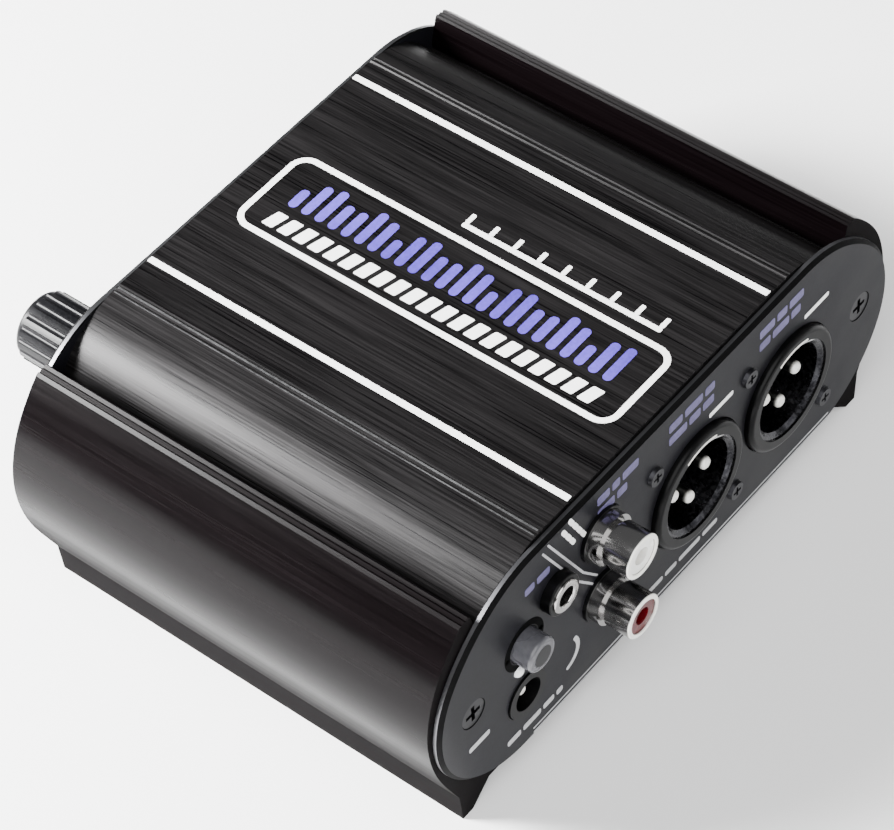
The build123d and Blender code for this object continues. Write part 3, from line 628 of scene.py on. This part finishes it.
# ---- printing, painted highlights and painted shadow on the connector panel -----------
def blank_rows(u, v, rows, height, row_gap=3.0, bar_gap=0.7):
    """Rows of short blank bars that stand where a label would be."""
    shapes = []
    for row, widths in enumerate(rows):
        at = u
        for width in widths:
            shapes.append(rounded_bar(at + width / 2, v - row * row_gap, width, height, 0.4))
            at += width + bar_gap
    return shapes


# left end and height of each blank label, its bars' widths row by row, and their height
SOFT_LABELS = (
    (-20.6, 46.9, ((3.2, 2.0, 4.2), (4.4, 2.6)), 1.9),
    (-1.6, 46.4, ((3.6, 4.8, 2.6), (4.8, 3.0, 3.0)), 1.9),
    (23.4, 46.4, ((4.2, 2.8, 4.0), (3.0, 4.6, 2.6)), 1.9),
    (-39.4, 43.2, ((2.4, 3.2),), 1.7),
)
soft_labels = [shape for label in SOFT_LABELS for shape in blank_rows(*label)]
lay_thin_layer("panel_soft_labels", soft_labels, on_front, print_soft)

# middle and width of the dash over each XLR socket
SOCKET_DASHES = ((12.7, 39.6, 6.6), (39.9, 39.4, 7.0))
DASH_HEIGHT = 1.0
over_sockets = [rounded_bar(u, v, width, DASH_HEIGHT, 0.3) for u, v, width in SOCKET_DASHES]
lay_thin_layer("panel_socket_dashes", over_sockets, on_front, print_white)


def parallel_pair(start, end):
    """Two thin parallel lines between two points."""
    a, b = Vector(start), Vector(end)
    side = (b - a).normalized().orthogonal() * ROUTE_SPACING / 2
    return [ribbon([a + side, b + side], ROUTE_LINE), ribbon([a - side, b - side], ROUTE_LINE)]


ROUTE_SPACING, ROUTE_LINE = 1.6, 0.42
route = parallel_pair((-33.9, 48.6), (-25.6, 33.6))
route += parallel_pair((-25.4, 33.2), (-21.8, 28.9))
lay_thin_layer("panel_route_lines", route, on_front, grey_print_and_painted_highlight)

# two short rows of bright strokes that run beside the route lines
STROKE_DIRECTION = Vector((0.46, -0.89))
STROKE_STEP, STROKE_LENGTH, STROKE_WIDTH = 2.1, 1.3, 0.95
STROKE_ROWS = ((-27.6, 49.4, 4), (-29.4, 48.4, 3))
bright_rows = []
for u, v, count in STROKE_ROWS:
    for index in range(count):
        at = Vector((u, v)) + STROKE_DIRECTION * STROKE_STEP * index
        tip = at + STROKE_DIRECTION * STROKE_LENGTH
        bright_rows.append(ribbon([at, tip], STROKE_WIDTH))
lay_thin_layer("panel_bright_rows", bright_rows, on_front, print_white)

# blank bars low on the panel, and one arc beside the power inlet
ARC_U, ARC_V, ARC_R, ARC_LINE = -30.4, 17.2, 3.7, 0.95
lower_bars = blank_rows(-45.6, 10.2, ((3.4, 4.6, 2.8, 1.6),), 1.3)
lower_bars += blank_rows(-9.0, 10.8, ((5.4, 3.2, 6.0, 4.2),), 1.1)
lower_bars.append(ribbon(arc(ARC_U, ARC_V, ARC_R, -75, 35, 10), ARC_LINE))
lay_thin_layer("panel_lower_bars", lower_bars, on_front, grey_print_and_painted_highlight)

# two thin pale lines over the panel's straight foot, painted highlights, as the photograph's highlight
# shows:
# each one's height over the panel's lowest edge, and its width
FOOT_LINES = ((1.0, 0.45), (2.1, 0.35))
FOOT_LINE_MIDDLE, FOOT_LINE_LENGTH = 3.0, 84.0
edge_low = span("connector_panel")[0].z
edges = [
    rounded_bar(FOOT_LINE_MIDDLE, edge_low + up, FOOT_LINE_LENGTH, width, 0.15)
    for up, width in FOOT_LINES
]
lay_thin_layer("panel_edge_highlights", edges, on_front, grey_print_and_painted_highlight)

# short bright arc at the top of each XLR nose, a painted highlight, as the photograph's highlight shows
LIP_R, LIP_LINE = 10.1, 0.5
for side in ("left", "right"):
    nose_y = span(f"xlr_housing_{side}")[0].y
    cup_middle = centre_of(f"xlr_cup_{side}")

    def on_nose(u, v, height, nose_y=nose_y):
        """Point on the front rim of this XLR nose."""
        return Vector((u, nose_y - height, v)) * MM

    lip = ribbon(arc(cup_middle.x, cup_middle.z, LIP_R, 68, 112, 14), LIP_LINE)
    lay_thin_layer(f"xlr_lip_{side}", [lip], on_nose, silver_and_painted_glint)

# painted shadow: dark ring in two halves round the push button, where the hole's shade falls; and the dark
# face of its cap
SURROUND_R, SURROUND_LINE, FACE_R = 4.35, 1.3, 2.0
cap_low, cap_high = span("button_cap")
cap = (cap_low + cap_high) / 2
painted_shadow_ring = [
    ribbon(arc(cap.x, cap.z, SURROUND_R, start, start + 178, 24), SURROUND_LINE, 2)
    for start in (1, 181)
]
lay_thin_layer("button_painted_shadow", painted_shadow_ring, on_front, painted_shadow_black)


def on_cap(u, v, height):
    """Point on the outer face of the button cap."""
    return Vector((cap.x + u, cap_low.y - height, cap.z + v)) * MM


button_face = [disc(0, 0, FACE_R)]
lay_thin_layer("button_face", button_face, on_cap, knob_black, body="push_button")

# one short plain bar below the left screw
plain_bar = [rounded_bar(-52.4, 18.9, 5.2, 1.2, 0.4)]
lay_thin_layer("panel_plain_bar", plain_bar, on_front, grey_print_and_painted_highlight)

# ---- printing on the control panel ------------------------------------------------------
# dots every 30 degrees over each knob's travel, and blank labels over the sockets
DOT_COUNT, DOT_STEP, DOT_START = 11, 30, -60
DOT_REACH, DOT_R, DOT_SIDES = 8.3, 0.38, 16
rear_marks = []
for level in ("upper", "lower"):
    middle = centre_of(f"knob_{level}")
    for index in range(DOT_COUNT):
        angle = math.radians(DOT_START + DOT_STEP * index)
        u = middle.x + DOT_REACH * math.cos(angle)
        v = middle.z + DOT_REACH * math.sin(angle)
        rear_marks.append(disc(u, v, DOT_R, DOT_SIDES))
for x in (centre_of("combo_body_left").x, centre_of("combo_body_right").x):
    rear_marks += blank_rows(x - 6.5, 44.2, ((3.8, 5.0, 2.8),), 1.3)
rear_marks += blank_rows(-19.8, 28.6, ((4.6, 3.0, 3.6),), 1.2)
lay_thin_layer("control_panel_marks", rear_marks, on_rear, grey_print_and_painted_highlight)


# ---- pointers on the knobs ---------------------------------------------------------------
for level in ("upper", "lower"):
    low, high = span(f"knob_{level}")
    middle = (low + high) / 2

    def on_crown(u, v, height, middle=middle, face=high.y):
        """Point on the outer face of this knob."""
        return Vector((middle.x + u, face + height, middle.z + v)) * MM

    lay_thin_layer(
        f"knob_pointer_{level}",
        [rounded_bar(0, 3.1, 0.9, 4.0, 0.4)],
        on_crown,
        print_white,
        body=f"{level}_knob",
    )


# ---- stage: floor, light, camera -----------------------------------------------------------
def make_floor():
    """Large pale floor under the foot rails."""
    bpy.ops.mesh.primitive_plane_add(size=8.0, location=(0, 0, cad_low.z))
    floor = bpy.context.object
    floor.name = "floor"
    material, tree, shader = new_material("floor_pale", Roughness=0.9)
    tone = noise(tree, (6, 6, 6), detail=2.0)
    colour = blend_colour(tree, tone, rgb(0.93, 0.93, 0.93), rgb(0.95, 0.95, 0.95))
    tree.links.new(colour, shader.inputs["Base Color"])
    floor.data.materials.append(material)


def area_light(name, place, size, power):
    """Soft rectangular light aimed at the middle of the object; metres and watts."""
    data = bpy.data.lights.new(name, "AREA")
    data.shape = "RECTANGLE"
    data.size, data.size_y = size
    data.energy = power
    lamp = bpy.data.objects.new(name, data)
    bpy.context.scene.collection.objects.link(lamp)
    lamp.location = place
    aim = AIM_AT - Vector(place)
    lamp.rotation_euler = aim.to_track_quat("-Z", "Y").to_euler()


make_floor()
AIM_AT = Vector((0, 0, 0.025))
area_light("key_back_left", (-0.60, 0.92, 0.56), (0.34, 0.44), 38.0)
area_light("shoulder_sheen", (-0.28, 0.345, 0.32), (0.19, 0.19), 17.0)
area_light("front_right", (0.75, -0.95, 0.60), (0.7, 0.5), 3.0)

SUN_STRENGTH, SUN_SPREAD = 4.8, math.radians(70)
SUN_DIRECTION = Vector((0.52, 0.46, -0.72))
sun_data = bpy.data.lights.new("fill_sun", "SUN")
sun_data.energy = SUN_STRENGTH
sun_data.angle = SUN_SPREAD
sun = bpy.data.objects.new("fill_sun", sun_data)
bpy.context.scene.collection.objects.link(sun)
sun.rotation_euler = SUN_DIRECTION.to_track_quat("-Z", "Y").to_euler()

world = bpy.data.worlds.new("studio")
bpy.context.scene.world = world
world.use_nodes = True
background = world.node_tree.nodes["Background"]
background.inputs["Color"].default_value = rgb(0.92, 0.93, 0.95)
background.inputs["Strength"].default_value = 0.22

# camera that repeats the photograph's view, as the fit of the box's edges gave it
CAMERA_AT = Vector((-0.30014, -0.26738, 0.47933))
VIEW_LINE = Vector((0.48958, 0.43581, -0.75523))
CAMERA_UP = Vector((0.61175, 0.44553, 0.65366))
camera_data = bpy.data.cameras.new("camera")
camera_data.sensor_width = 36.0
camera_data.lens = 143.8
camera_data.shift_x = -0.0015
camera_data.shift_y = -0.0016
camera_data.clip_start = 0.05
camera_data.clip_end = 20.0
camera = bpy.data.objects.new("camera", camera_data)
bpy.context.scene.collection.objects.link(camera)
right = VIEW_LINE.cross(CAMERA_UP).normalized()
up = right.cross(VIEW_LINE).normalized()
turn = Matrix((right, up, -VIEW_LINE.normalized())).transposed()
camera.matrix_world = Matrix.Translation(CAMERA_AT) @ turn.to_4x4()
bpy.context.scene.camera = camera
